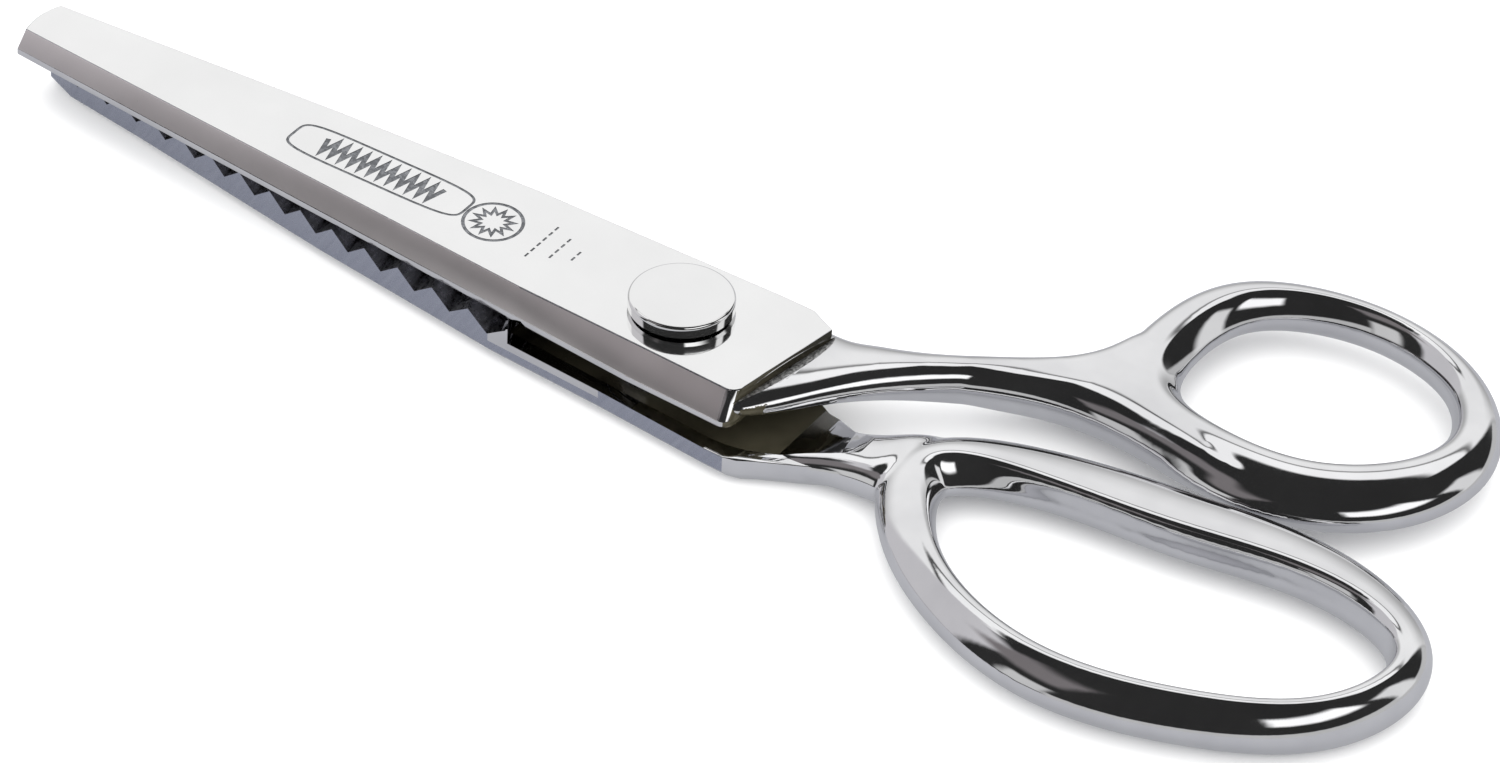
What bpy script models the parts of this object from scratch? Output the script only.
"""Pinking shears lying closed on a flat surface: two forged members on a caged ball pivot.

Frame: the pivot axis is +Z through the origin, z = 0 is the surface that the shears lie on,
-X points to the tips, +X to the handles, and +Y to the thumb ring.
Every length below is in millimetres and is turned into metres when a mesh is written.
"""

import math

import bmesh
import bpy

MM = 0.001

# Clearance between pieces that touch on the real tool
GAP = 0.3

# Pivot stack, counted up from the surface
NUT_RECESS = 0.2
NUT_THICKNESS = 1.2
NUT_RADIUS = 4.4
SPRING_THICKNESS = 0.4
LOWER_WEB = 1.3
UPPER_WEB = 2.0
RACE_THICKNESS = 0.4
BALL_RADIUS = 0.6
BALL_COUNT = 12
BALL_CIRCLE_RADIUS = 5.0
BOLT_RADIUS = 2.4
THREAD_RADIUS = 2.2
BUSH_WALL = 0.6
RACE_MARGIN = 1.5
BOSS_WALL = 1.4
CAP_RADIUS = 6.15
CAP_HEIGHT = 1.7
CAP_ROUND = 0.5

# Blades
BLADE_REACH = 93.5
LOWER_TIP_STEP = 2.0
HEEL_REACH = 13.6
TIP_FRONT = 3.2
TIP_BACK = 4.5
ROOT_FRONT = 11.3
ROOT_BACK = 8.8
LOWER_TIP_BACK = 7.2
LOWER_ROOT_FRONT = 12.2
LOWER_ROOT_BACK = 8.4
TIP_BULGE = 0.9
FACET_TIP = 1.3
FACET_ROOT = 3.0
RIM_HEIGHT = 0.75
LOWER_BEVEL = 1.3

# Teeth: grooves along arcs about the pivot
TOOTH_PITCH = 4.87
TOOTH_DEPTH = 2.0
FIRST_VALLEY = 22.0
TOOTH_CLEARANCE = 0.45
TOOTH_SETBACK = 2.4

# Relief between the blades around the pivot
LIP_DROP = 1.9
CHANNEL_DROP = 2.7
CHANNEL_RISE = 1.5
LIP_WIDTH = 1.6

# Handles
HANDLE_REACH = 97.1
BOW_LENGTH = 65.6
BOW_WIDTH = 39.2
BOW_HEIGHT = 6.4
BOW_BACK = 12.2
RING_LENGTH = 44.1
RING_WIDTH = 37.7
RING_HEIGHT = 6.0
RING_LIFT = 1.2
HANDLE_GAP = 0.7
RING_STEP = 11.0

# Heights that follow from the stack
NUT_TOP = NUT_RECESS + NUT_THICKNESS
SPRING_BOTTOM = NUT_TOP + GAP
COUNTERBORE_TOP = SPRING_BOTTOM + SPRING_THICKNESS + GAP
POCKET_FLOOR = COUNTERBORE_TOP + LOWER_WEB
PARTING = POCKET_FLOOR + GAP + RACE_THICKNESS + GAP + BALL_RADIUS
POCKET_CEILING = PARTING + BALL_RADIUS + GAP + RACE_THICKNESS + GAP
TOP_FACE = POCKET_CEILING + UPPER_WEB
RIM_BOTTOM = PARTING + TOOTH_CLEARANCE + 0.1
FACET_BOTTOM = RIM_BOTTOM + RIM_HEIGHT

# Radii that follow from the bolt outwards
BUSH_INNER = BOLT_RADIUS + GAP
BUSH_OUTER = BUSH_INNER + BUSH_WALL
RACE_INNER = BUSH_OUTER + GAP
RACE_OUTER = BALL_CIRCLE_RADIUS + RACE_MARGIN
POCKET_RADIUS = RACE_OUTER + GAP
BOSS_RADIUS = POCKET_RADIUS + BOSS_WALL
COUNTERBORE_RADIUS = NUT_RADIUS + GAP
TEETH_START = FIRST_VALLEY - TOOTH_PITCH / 2


# ---------------------------------------------------------------- mesh helpers

def make_object(name, vertices, faces):
    """Put a list of points in millimetres and their faces into a new object."""
    mesh = bpy.data.meshes.new(name)
    mesh.from_pydata([[value * MM for value in point] for point in vertices], [], faces)
    solid = bmesh.new()
    solid.from_mesh(mesh)
    bmesh.ops.recalc_face_normals(solid, faces=solid.faces)
    solid.to_mesh(mesh)
    solid.free()
    result = bpy.data.objects.new(name, mesh)
    bpy.context.scene.collection.objects.link(result)
    return result


def stack_rings(name, rings, closed_path=False):
    """Join rings of equal point count into one skin, capped at both ends or closed on itself."""
    count = len(rings[0])
    vertices = [point for ring in rings for point in ring]
    faces = []
    spans = len(rings) if closed_path else len(rings) - 1
    for row in range(spans):
        here = row * count
        there = ((row + 1) % len(rings)) * count
        for i in range(count):
            j = (i + 1) % count
            faces.append((here + i, here + j, there + j, there + i))
    if not closed_path:
        faces.append(tuple(reversed(range(count))))
        faces.append(tuple(range((len(rings) - 1) * count, len(rings) * count)))
    return make_object(name, vertices, faces)


def lathe(name, profile, segments=48):
    """Turn a closed (radius, z) profile that stays off the axis once round +Z."""
    rings = []
    for k in range(segments):
        angle = 2 * math.pi * k / segments
        rings.append([(r * math.cos(angle), r * math.sin(angle), z) for r, z in profile])
    return stack_rings(name, rings, closed_path=True)


def turned_stack(name, profile, segments=48, centre=(0.0, 0.0)):
    """Stack circles of the given (radius, z) pairs into a solid of revolution with flat ends.

    The first corner stands a little off the X axis, so that no corner of a cutter
    falls on a corner of what it cuts.
    """
    rings = []
    for radius, z in profile:
        ring = []
        for k in range(segments):
            angle = 2 * math.pi * (k + 0.37) / segments
            ring.append((centre[0] + radius * math.cos(angle), centre[1] + radius * math.sin(angle), z))
        rings.append(ring)
    return stack_rings(name, rings)


def cylinder(name, radius, bottom, top, segments=48, centre=(0.0, 0.0)):
    """A plain upright cylinder."""
    return turned_stack(name, [(radius, bottom), (radius, top)], segments, centre)


def catmull(points, steps, closed):
    """Read a smooth curve through the points: uniform Catmull-Rom, any number of values each."""
    count = len(points)
    result = []
    spans = count if closed else count - 1
    for i in range(spans):
        if closed:
            p = [points[(i + k) % count] for k in (-1, 0, 1, 2)]
        else:
            p = [points[min(max(i + k, 0), count - 1)] for k in (-1, 0, 1, 2)]
        for s in range(steps):
            t = s / steps
            weights = ((-t + 2 * t**2 - t**3) / 2, (2 - 5 * t**2 + 3 * t**3) / 2,
                       (t + 4 * t**2 - 3 * t**3) / 2, (-t**2 + t**3) / 2)
            result.append([sum(w * q[k] for w, q in zip(weights, p)) for k in range(len(points[0]))])
    if not closed:
        result.append(list(points[-1]))
    return result


def section(x, y, z, across, half_height, around, power):
    """One upright superellipse ring: across is the plan vector from its middle to its side."""
    ring = []
    for k in range(around):
        c, s = math.cos(2 * math.pi * k / around), math.sin(2 * math.pi * k / around)
        u = math.copysign(abs(c) ** (2 / power), c)
        v = math.copysign(abs(s) ** (2 / power), s)
        ring.append((x + u * across[0], y + u * across[1], z + v * half_height))
    return ring


def loop_bar(name, stations, steps=5, around=16, power=2.0):
    """Carry an upright section round a smooth closed plan path: a handle loop.

    Each station is (x, y, z, half width, half height). The section stands across the path.
    """
    path = catmull(stations, steps, closed=True)
    rings = []
    for i, (x, y, z, a, b) in enumerate(path):
        ahead = path[(i + 1) % len(path)]
        behind = path[i - 1]
        dx, dy = ahead[0] - behind[0], ahead[1] - behind[1]
        length = math.hypot(dx, dy)
        rings.append(section(x, y, z, (a * dy / length, -a * dx / length), b, around, power))
    return stack_rings(name, rings, closed_path=True)


def shank_bar(name, stations, steps=3, around=16, power=2.4):
    """Loft a shank between its front and back outlines.

    Each station is (front x, front y, back x, back y, z of the middle, half height).
    """
    rings = []
    for fx, fy, bx, by, z, b in catmull(stations, steps, closed=False):
        across = ((fx - bx) / 2, (fy - by) / 2)
        rings.append(section((fx + bx) / 2, (fy + by) / 2, z, across, b, around, power))
    return stack_rings(name, rings)


def combine(target, other, operation):
    """Apply an exact Boolean of another object to the target, then drop the other object."""
    modifier = target.modifiers.new(operation.title(), "BOOLEAN")
    modifier.operation = operation
    modifier.solver = "EXACT"
    modifier.object = other
    graph = bpy.context.evaluated_depsgraph_get()
    mesh = bpy.data.meshes.new_from_object(target.evaluated_get(graph))
    target.modifiers.clear()
    old = target.data
    target.data = mesh
    bpy.data.meshes.remove(old)
    bpy.data.objects.remove(other)


def finish(body, name, material, smooth_angle=35.0):
    """Name the piece, give it its material and shade it smooth except across sharp edges."""
    body.name = name
    body.data.name = name
    body.data.materials.clear()
    body.data.materials.append(material)
    body.data.shade_smooth()
    body.data.set_sharp_from_angle(angle=math.radians(smooth_angle))
    return body


def metal(name, colour, roughness, metallic=1.0):
    """A Principled metal."""
    material = bpy.data.materials.new(name)
    material.use_nodes = True
    shader = material.node_tree.nodes["Principled BSDF"]
    shader.inputs["Base Color"].default_value = (*colour, 1.0)
    shader.inputs["Roughness"].default_value = roughness
    shader.inputs["Metallic"].default_value = metallic
    return material


# ---------------------------------------------------------------- shared shapes

def tooth_profile(offset):
    """The zigzag of the teeth as (distance from the pivot, z), valleys low, from heel to past the tip."""
    points = [(TEETH_START, PARTING + offset)]
    radius = FIRST_VALLEY
    while radius < BLADE_REACH + 2 * TOOTH_PITCH:
        points.append((radius, PARTING - TOOTH_DEPTH + offset))
        points.append((radius + TOOTH_PITCH / 2, PARTING + offset))
        radius += TOOTH_PITCH
    return points


def sector(name, profile, start, stop, segments):
    """Carry a (radius, z) polygon about the pivot between two angles in degrees."""
    rings = []
    for k in range(segments + 1):
        angle = math.radians(start + (stop - start) * k / segments)
        rings.append([(r * math.cos(angle), r * math.sin(angle), z) for r, z in profile])
    return stack_rings(name, rings)


def tip_arc(front, back, bulge, steps=6):
    """Points of a shallow arc from the front tip corner to the back one, both left out."""
    arc = []
    for k in range(1, steps):
        t = k / steps
        x = front[0] + (back[0] - front[0]) * t - bulge * 4 * t * (1 - t)
        y = front[1] + (back[1] - front[1]) * t
        arc.append((x, y))
    return arc


def plan_level(front, back, bulge, z):
    """One closed plan outline at height z: along the front to the tip, round it and back."""
    outline = front + tip_arc(front[-1], back[0], bulge) + back
    return [(x, y, z) for x, y in outline]


def upper_front(inset_tip, inset_root):
    """Front line of the upper blade from heel to tip, moved in by the facet's width."""
    shoulder = -17.0
    slope = (ROOT_FRONT - 1.5 - TIP_FRONT) / (BLADE_REACH + shoulder)
    return [(HEEL_REACH, -ROOT_FRONT + 0.5 + inset_root),
            (HEEL_REACH - 0.3, -ROOT_FRONT - 0.3 + inset_root),
            (HEEL_REACH - 1.0, -ROOT_FRONT - 0.6 + inset_root),
            (0.0, -ROOT_FRONT + inset_root),
            (shoulder, -TIP_FRONT - slope * (BLADE_REACH + shoulder) + inset_root * 0.75),
            (-BLADE_REACH + TIP_BULGE, -TIP_FRONT + inset_tip)]


def upper_back():
    """Back line of the upper blade from tip to heel."""
    return [(-BLADE_REACH + TIP_BULGE + 0.4, TIP_BACK),
            (-25.5, ROOT_BACK - 0.3),
            (8.0, ROOT_BACK),
            (HEEL_REACH, ROOT_BACK - 0.7)]


def lower_front(inset):
    """Front line of the lower blade from heel to tip: the toothed cutting side."""
    reach = BLADE_REACH - LOWER_TIP_STEP
    return [(HEEL_REACH - 1.4, -LOWER_ROOT_FRONT - 1.2 + inset),
            (-3.0, -LOWER_ROOT_FRONT + 0.2 + inset),
            (-19.0, -LOWER_ROOT_FRONT + 1.3 + inset),
            (-45.5, -7.5 + inset),
            (-0.82 * reach, -2.8 + inset),
            (-0.94 * reach, -0.6 + inset),
            (-reach + TIP_BULGE, 1.6 + inset)]


def lower_back(inset_tip, inset_root):
    """Back line of the lower blade from tip to heel."""
    reach = BLADE_REACH - LOWER_TIP_STEP
    return [(-reach + TIP_BULGE, LOWER_TIP_BACK - 0.6 - inset_tip),
            (-40.0, LOWER_TIP_BACK + 0.4 - inset_root * 0.7),
            (0.0, LOWER_ROOT_BACK - inset_root),
            (HEEL_REACH - 1.4, LOWER_ROOT_BACK - 2.0 - inset_root)]


# ---------------------------------------------------------------- handles

# Unit outlines of the two handle loops: plan position from the loop's far end and back edge,
# as shares of its length and width, then the half width of the bar in millimetres.
BOW_SHAPE = [(-0.04, 0.30, 2.5), (-0.23, 0.105, 3.7), (-0.52, 0.135, 4.8), (-0.785, 0.20, 4.2),
             (-0.955, 0.39, 3.9), (-0.905, 0.60, 3.3), (-0.775, 0.795, 2.8), (-0.54, 0.925, 2.9),
             (-0.27, 0.835, 2.8), (-0.065, 0.58, 2.4)]
RING_SHAPE = [(-0.075, 0.43, 3.3), (-0.18, 0.19, 2.6), (-0.395, 0.06, 2.3), (-0.635, 0.06, 2.5),
              (-0.84, 0.19, 3.2), (-0.91, 0.46, 3.4), (-0.86, 0.74, 3.9), (-0.63, 0.885, 4.4),
              (-0.35, 0.87, 4.5), (-0.14, 0.69, 4.2)]


def loop_stations(shape, end, back, length, width, height, z):
    """Place a unit loop outline with its far end and back edge where they belong."""
    return [(end + u * length, back - v * width, z, a, height / 2) for u, v, a in shape]


def bow_stations():
    """The finger bow of the lower member, resting on the surface."""
    return loop_stations(BOW_SHAPE, HANDLE_REACH, BOW_BACK, BOW_LENGTH, BOW_WIDTH,
                         BOW_HEIGHT, BOW_HEIGHT / 2)


def ring_stations():
    """The thumb ring of the upper member, beside the bow's back bar."""
    end = HANDLE_REACH - RING_STEP
    back = BOW_BACK + HANDLE_GAP + RING_WIDTH
    return loop_stations(RING_SHAPE, end, back, RING_LENGTH, RING_WIDTH,
                         RING_HEIGHT, RING_LIFT + RING_HEIGHT / 2)


def upper_shank_stations():
    """From inside the upper blade's heel down and across into the thumb ring's near side."""
    z_heel = (RIM_BOTTOM + TOP_FACE) / 2 - 0.2
    half = (TOP_FACE - RIM_BOTTOM) / 2
    z_ring = RING_LIFT + RING_HEIGHT / 2
    ring_half = RING_HEIGHT / 2
    near = ring_stations()[5]
    low = ring_stations()[6]
    return [(HEEL_REACH - 5.0, -ROOT_FRONT + 0.9, HEEL_REACH - 5.0, ROOT_BACK - 0.6, z_heel, half - 0.3),
            (HEEL_REACH + 0.7, -ROOT_FRONT + 0.7, HEEL_REACH + 0.6, ROOT_BACK - 0.6, z_heel, half - 0.1),
            (16.6, -7.9, 17.0, ROOT_BACK - 0.5, z_heel - 0.1, half),
            (20.3, -2.6, 20.0, 9.4, z_heel - 0.4, half + 0.2),
            (24.4, 2.9, 23.0, 10.9, z_heel - 0.9, half + 0.5),
            (29.0, 7.6, 27.0, 13.2, (z_heel + z_ring) / 2, half + 0.9),
            (34.6, 11.2, 32.0, 16.6, z_ring + 0.6, ring_half - 0.2),
            (40.7, 13.8, 37.5, 20.6, z_ring + 0.2, ring_half),
            (low[0] + 1.6, low[1] - 7.0, near[0] - 2.8, near[1] - 3.0, z_ring, ring_half - 0.15)]


def lower_shank_stations():
    """From inside the lower blade's heel into the finger bow's near end."""
    half = BOW_HEIGHT / 2
    near = bow_stations()[4]
    return [(14.0, -11.4, 14.0, 2.6, 1.85, 1.65),
            (19.5, -10.5, 20.0, 0.4, 2.0, 1.9),
            (24.0, -9.3, 24.2, -1.0, 2.4, 2.3),
            (28.5, -8.6, 28.8, 0.3, 2.8, 2.7),
            (32.6, -9.6, 33.0, 2.2, half - 0.1, half - 0.2),
            (near[0] + 1.8, near[1] - 8.4, near[0] + 2.4, near[1] + 6.2, half, half - 0.5)]


# ---------------------------------------------------------------- the two members

def channel_cutter(name, outline, bottom, top):
    """A prism over the relief round the pivot, with the round boss left standing."""
    block = stack_rings(name, [[(x, y, bottom) for x, y in outline], [(x, y, top) for x, y in outline]])
    boss = cylinder(name + "_boss", BOSS_RADIUS, bottom - 1.0, top + 1.0)
    combine(block, boss, "DIFFERENCE")
    return block


def build_upper_member(material):
    """Upper blade, shank and thumb ring: one forging with the teeth on its underside."""
    back = upper_back()
    plate = stack_rings("upper", [
        plan_level(upper_front(0.0, 0.0), back, TIP_BULGE, RIM_BOTTOM),
        plan_level(upper_front(0.0, 0.0), back, TIP_BULGE, FACET_BOTTOM),
        plan_level(upper_front(FACET_TIP, FACET_ROOT), back, TIP_BULGE, TOP_FACE)])

    # The toothed band hangs below the plate, set back from the plain front rim
    tooth_back = [(-BLADE_REACH + TIP_BULGE + 1.2, TIP_BACK - 0.1), (-25.5, ROOT_BACK - 0.4),
                  (-TEETH_START + 3.0, ROOT_BACK - 0.35)]
    low_front = [(x, y + TOOTH_SETBACK) for x, y in upper_front(0.0, 0.0)[4:]]
    low_front[0] = (-TEETH_START + 3.0, low_front[0][1] - 0.3)
    low_front[-1] = (-BLADE_REACH + TIP_BULGE + 0.8, low_front[-1][1])
    band_bottom = PARTING - TOOTH_DEPTH + TOOTH_CLEARANCE
    band = stack_rings("band", [
        plan_level(low_front, tooth_back, TIP_BULGE * 0.8, band_bottom - 0.2),
        plan_level(low_front, tooth_back, TIP_BULGE * 0.8, FACET_BOTTOM)])
    heel_cut = cylinder("heel_cut", TEETH_START, band_bottom - 3.0, TOP_FACE + 1.0, 96)
    combine(band, heel_cut, "DIFFERENCE")
    zigzag = tooth_profile(TOOTH_CLEARANCE)
    far = zigzag[-1][0]
    under = [(TEETH_START - 1.0, zigzag[0][1])] + zigzag + [(far, 0.0), (TEETH_START - 1.0, 0.0)]
    combine(band, sector("tooth_cut", under, 149.0, 206.0, 15), "DIFFERENCE")
    combine(plate, band, "UNION")

    combine(plate, shank_bar("shank", upper_shank_stations()), "UNION")
    combine(plate, loop_bar("ring", ring_stations()), "UNION")

    # Groove across the heel, where the forged shank meets the ground blade
    groove = stack_rings("groove", [
        [(HEEL_REACH - 0.1, -14.0, TOP_FACE - 0.5), (HEEL_REACH + 0.7, -14.0, TOP_FACE + 1.0),
         (HEEL_REACH - 0.9, -14.0, TOP_FACE + 1.0)],
        [(HEEL_REACH + 0.9, 12.0, TOP_FACE - 0.5), (HEEL_REACH + 1.7, 12.0, TOP_FACE + 1.0),
         (HEEL_REACH + 0.1, 12.0, TOP_FACE + 1.0)]])
    combine(plate, groove, "DIFFERENCE")

    # A boss comes down round the bearing, and the pocket opens downwards
    boss = cylinder("boss", BOSS_RADIUS, PARTING + GAP / 2, POCKET_CEILING + 0.5)
    combine(plate, boss, "UNION")
    front = -ROOT_FRONT + LIP_WIDTH
    outline = [(-TEETH_START + 3.6, front + 1.6), (0.0, front), (11.0, front), (11.0, ROOT_BACK - LIP_WIDTH),
               (0.0, ROOT_BACK - LIP_WIDTH), (-TEETH_START + 3.6, ROOT_BACK - LIP_WIDTH - 0.4)]
    combine(plate, channel_cutter("channel", outline, PARTING - 1.0, PARTING + CHANNEL_RISE), "DIFFERENCE")
    combine(plate, cylinder("pocket", POCKET_RADIUS, PARTING - 2.0, POCKET_CEILING), "DIFFERENCE")
    square_hole = square_bar("square", BOLT_RADIUS + GAP, POCKET_CEILING - 1.0, TOP_FACE + 1.0)
    combine(plate, square_hole, "DIFFERENCE")
    return finish(plate, "upper_blade_and_thumb_ring", material)


def tang_outline(inset):
    """Plan of the lower member's tang, from under the pivot to the start of the shank."""
    front = [(31.0, -8.9), (26.0, -9.2), (22.8, -9.9), (16.5, -12.3), (14.2, -13.2),
             (HEEL_REACH - 1.4, -LOWER_ROOT_FRONT - 1.2), (4.0, -LOWER_ROOT_FRONT - 0.6)]
    back = [(4.0, LOWER_ROOT_BACK - 1.2), (HEEL_REACH - 1.4, LOWER_ROOT_BACK - 2.4), (16.5, 2.6),
            (20.0, 0.4), (24.2, -0.9), (31.0, 0.6)]
    return [(x, y + inset) for x, y in front] + [(x, y - inset) for x, y in back]


def build_tang():
    """The flat of the lower member behind the pivot, as high as the lip round its relief."""
    lip = PARTING - LIP_DROP
    levels = [(0.9, 0.0), (0.0, 0.8), (0.0, lip)]
    return stack_rings("tang", [[(x, y, z) for x, y in tang_outline(inset)] for inset, z in levels])


def build_lower_member(material):
    """Lower blade, shank and finger bow: one forging with the teeth on its upper side."""
    facet_z = 2.4
    share = LOWER_BEVEL / facet_z
    blade = stack_rings("lower", [
        plan_level(lower_front(1.2), lower_back(FACET_TIP, FACET_ROOT), TIP_BULGE * 0.6, 0.0),
        plan_level(lower_front(0.0), lower_back(FACET_TIP * (1 - share), FACET_ROOT * (1 - share)),
                   TIP_BULGE, LOWER_BEVEL),
        plan_level(lower_front(0.0), lower_back(0.0, 0.0), TIP_BULGE, facet_z),
        plan_level(lower_front(0.0), lower_back(0.0, 0.0), TIP_BULGE, PARTING)])
    combine(blade, build_tang(), "UNION")
    combine(blade, shank_bar("shank", lower_shank_stations()), "UNION")
    combine(blade, loop_bar("bow", bow_stations(), steps=6), "UNION")

    zigzag = tooth_profile(0.0)
    far = zigzag[-1][0]
    above = zigzag + [(far, TOP_FACE), (TEETH_START, TOP_FACE)]
    combine(blade, sector("tooth_cut", above, 146.0, 214.0, 17), "DIFFERENCE")

    # Everything between the boss and the first tooth drops to the lip, then to the channel floor
    lip = PARTING - LIP_DROP
    drop = lathe("drop", [(BOSS_RADIUS, lip), (TEETH_START + 0.02, lip),
                          (TEETH_START + 0.02, TOP_FACE), (BOSS_RADIUS, TOP_FACE)], 72)
    combine(blade, drop, "DIFFERENCE")
    front = -LOWER_ROOT_FRONT + LIP_WIDTH
    outline = [(-TEETH_START + 2.4, front + 1.6), (0.0, front), (11.5, front - 0.9), (17.5, front + 0.5),
               (23.0, -7.6), (24.0, -3.2), (18.5, -0.9), (12.0, 3.6),
               (0.0, LOWER_ROOT_BACK - LIP_WIDTH), (-TEETH_START + 2.4, LOWER_ROOT_BACK - LIP_WIDTH - 0.5)]
    floor = PARTING - CHANNEL_DROP
    combine(blade, channel_cutter("channel", outline, floor, TOP_FACE), "DIFFERENCE")
    boss_top = lathe("boss_top", [(0.5, PARTING - GAP / 2), (BOSS_RADIUS + 1.0, PARTING - GAP / 2),
                                  (BOSS_RADIUS + 1.0, TOP_FACE), (0.5, TOP_FACE)], 48)
    combine(blade, boss_top, "DIFFERENCE")
    combine(blade, cylinder("pocket", POCKET_RADIUS, POCKET_FLOOR, TOP_FACE), "DIFFERENCE")
    combine(blade, cylinder("bore", BUSH_OUTER + GAP, -1.0, TOP_FACE), "DIFFERENCE")
    combine(blade, cylinder("counterbore", COUNTERBORE_RADIUS, -1.0, COUNTERBORE_TOP), "DIFFERENCE")
    return finish(blade, "lower_blade_and_finger_bow", material)


# ---------------------------------------------------------------- pivot

def square_bar(name, half, bottom, top):
    """An upright square bar on the pivot axis."""
    corners = [(half, half), (-half, half), (-half, -half), (half, -half)]
    return stack_rings(name, [[(x, y, bottom) for x, y in corners], [(x, y, top) for x, y in corners]])


def build_bolt(material):
    """Bolt with a wide flat cap, a square neck in the upper blade and a threaded end."""
    under = TOP_FACE + GAP
    top = under + CAP_HEIGHT
    profile = [(THREAD_RADIUS - 0.3, 0.0), (THREAD_RADIUS, 0.3), (THREAD_RADIUS, NUT_TOP + 0.1),
               (BOLT_RADIUS, NUT_TOP + 0.3), (BOLT_RADIUS, under + 0.2), (CAP_RADIUS - 0.25, under + 0.2),
               (CAP_RADIUS, under + 0.45)]
    steps = 5
    for k in range(steps + 1):
        angle = math.pi / 2 * k / steps
        profile.append((CAP_RADIUS - CAP_ROUND + CAP_ROUND * math.cos(angle),
                        top - CAP_ROUND + CAP_ROUND * math.sin(angle)))
    bolt = turned_stack("bolt", profile, 64)
    combine(bolt, square_bar("neck", BOLT_RADIUS, POCKET_CEILING + 0.1, under + 0.6), "UNION")
    return finish(bolt, "pivot_bolt", material, 30.0)


def build_nut(material):
    """Round nut with two slots for a pin spanner."""
    hole = THREAD_RADIUS + GAP
    nut = lathe("nut", [(hole, NUT_RECESS), (NUT_RADIUS - 0.2, NUT_RECESS), (NUT_RADIUS, NUT_RECESS + 0.2),
                        (NUT_RADIUS, NUT_TOP), (hole, NUT_TOP)], 40)
    for side in (1, -1):
        slot = stack_rings("slot", [[(side * 3.2, -0.5, z), (side * 6.0, -0.5, z), (side * 6.0, 0.5, z),
                                     (side * 3.2, 0.5, z)] for z in (NUT_RECESS - 0.5, NUT_RECESS + 0.7)])
        combine(nut, slot, "DIFFERENCE")
    return finish(nut, "pivot_nut", material)


def build_spring_washer(material):
    """Shallow dished washer that keeps the two blades pressed together."""
    inner, outer = THREAD_RADIUS + GAP + 0.3, NUT_RADIUS - 0.1
    low, high = SPRING_BOTTOM, SPRING_BOTTOM + SPRING_THICKNESS
    rise = SPRING_THICKNESS / 3
    washer = lathe("washer", [(inner, low + rise), (outer, low), (outer, high - rise), (inner, high)], 40)
    return finish(washer, "dished_spring_washer", material)


def build_bush(material):
    """Sleeve between the bolt and the lower blade."""
    bush = lathe("bush", [(BUSH_INNER, COUNTERBORE_TOP + 0.1), (BUSH_OUTER, COUNTERBORE_TOP + 0.1),
                          (BUSH_OUTER, POCKET_CEILING - GAP), (BUSH_INNER, POCKET_CEILING - GAP)], 40)
    return finish(bush, "pivot_bush", material)


def build_race(name, bottom, material):
    """Hardened flat ring that the balls roll on."""
    top = bottom + RACE_THICKNESS
    ring = lathe(name, [(RACE_INNER, bottom), (RACE_OUTER, bottom), (RACE_OUTER, top), (RACE_INNER, top)])
    return finish(ring, name, material)


def ball_places():
    """Plan positions of the balls, evenly spaced."""
    return [(BALL_CIRCLE_RADIUS * math.cos(2 * math.pi * k / BALL_COUNT),
             BALL_CIRCLE_RADIUS * math.sin(2 * math.pi * k / BALL_COUNT)) for k in range(BALL_COUNT)]


def build_cage(material):
    """Thin ring with one round window for each ball."""
    half = BALL_RADIUS * 0.55
    low, high = PARTING - half, PARTING + half
    inner, outer = RACE_INNER, RACE_OUTER - 0.1
    cage = lathe("cage", [(inner, low), (outer, low), (outer, high), (inner, high)])
    for k, place in enumerate(ball_places()):
        window = cylinder(f"window_{k}", BALL_RADIUS + GAP, low - 0.5, high + 0.5, 16, place)
        combine(cage, window, "DIFFERENCE")
    return finish(cage, "ball_cage", material)


def build_balls(material):
    """The bearing balls, one object each, sharing one mesh."""
    solid = bmesh.new()
    bmesh.ops.create_uvsphere(solid, u_segments=14, v_segments=8, radius=BALL_RADIUS * MM)
    mesh = bpy.data.meshes.new("bearing_ball")
    solid.to_mesh(mesh)
    solid.free()
    mesh.materials.append(material)
    mesh.shade_smooth()
    for k, (x, y) in enumerate(ball_places()):
        ball = bpy.data.objects.new(f"bearing_ball_{k + 1:02d}", mesh)
        ball.location = (x * MM, y * MM, PARTING * MM)
        bpy.context.scene.collection.objects.link(ball)


# ---------------------------------------------------------------- assembly

def main():
    """Clear the scene and build every piece in its closed resting place."""
    for old in list(bpy.data.objects):
        bpy.data.objects.remove(old)
    chrome = metal("polished_chrome", (0.83, 0.83, 0.84), 0.06)
    cap_chrome = metal("cap_chrome", (0.86, 0.86, 0.86), 0.05)
    steel = metal("plain_steel", (0.55, 0.55, 0.57), 0.3)
    hard = metal("hardened_steel", (0.62, 0.62, 0.65), 0.18)
    brass = metal("cage_brass", (0.72, 0.56, 0.27), 0.35)
    build_lower_member(chrome)
    build_upper_member(chrome)
    build_bolt(cap_chrome)
    build_nut(steel)
    build_spring_washer(steel)
    build_bush(hard)
    build_race("lower_race", POCKET_FLOOR + GAP, hard)
    build_race("upper_race", POCKET_CEILING - GAP - RACE_THICKNESS, hard)
    build_cage(brass)
    build_balls(hard)


main()
